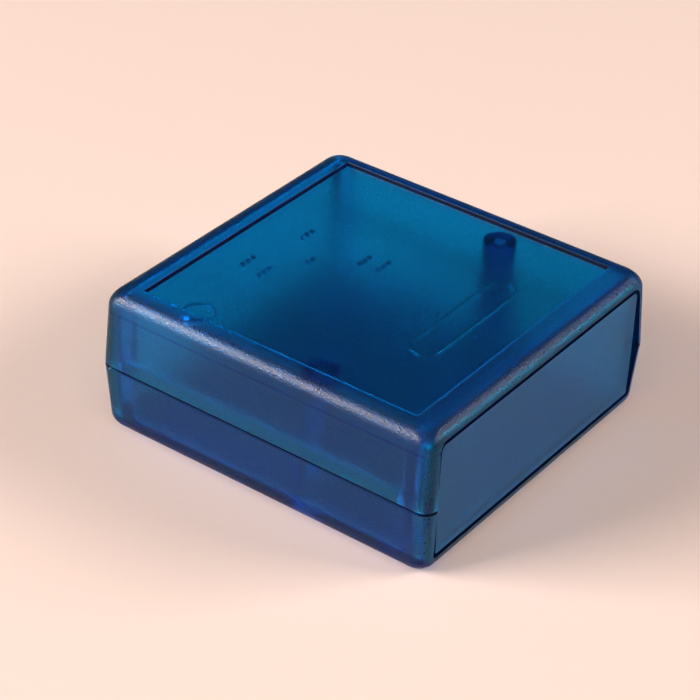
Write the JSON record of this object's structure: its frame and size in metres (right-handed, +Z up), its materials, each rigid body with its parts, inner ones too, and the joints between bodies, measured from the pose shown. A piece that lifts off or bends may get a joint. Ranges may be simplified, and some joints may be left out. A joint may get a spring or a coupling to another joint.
{
  "type": "hand-held plastic instrument case",
  "caption": "Translucent blue plastic instrument case in two halves, with a sunk label field, removable end panels and cover screws.",
  "frame": {"origin": "centre of the underside of the bottom case, on the surface that the case stands on", "axes": "+Z up through the cover, +Y towards the rear end panel, +X towards the right side wall"},
  "size_m": [0.0662, 0.0688, 0.028],
  "materials": {
    "shell": "translucent blue, satin spark-eroded texture outside",
    "end_panel": "translucent blue, smooth satin sheet",
    "screw": "bright zinc-plated steel"
  },
  "bodies": {
    "case": {"bottom_case": "shell"},
    "cover": {"top_cover": "shell"},
    "front_panel": {"front_end_panel": "end_panel"},
    "rear_panel": {"rear_end_panel": "end_panel"},
    "screw_left": {"cover_screw_left": "screw"},
    "screw_right": {"cover_screw_right": "screw"}
  },
  "joints": [
    {"name": "cover_lift", "type": "slide", "parent": "case", "child": "cover", "axis": [0, 0, 1], "range_m": [0, 0.05]},
    {"name": "front_panel_lift", "type": "slide", "parent": "case", "child": "front_panel", "axis": [0, 0, 1], "range_m": [0, 0.025]},
    {"name": "rear_panel_lift", "type": "slide", "parent": "case", "child": "rear_panel", "axis": [0, 0, 1], "range_m": [0, 0.025]},
    {"name": "screw_left_out", "type": "slide", "parent": "case", "child": "screw_left", "axis": [0, 0, -1], "range_m": [0, 0.022]},
    {"name": "screw_right_out", "type": "slide", "parent": "case", "child": "screw_right", "axis": [0, 0, -1], "range_m": [0, 0.022]}
  ],
  "couplings": [
    {"joint": "front_panel_lift", "follows": "cover_lift", "ratio": 0.5},
    {"joint": "rear_panel_lift", "follows": "cover_lift", "ratio": 0.5}
  ]
}
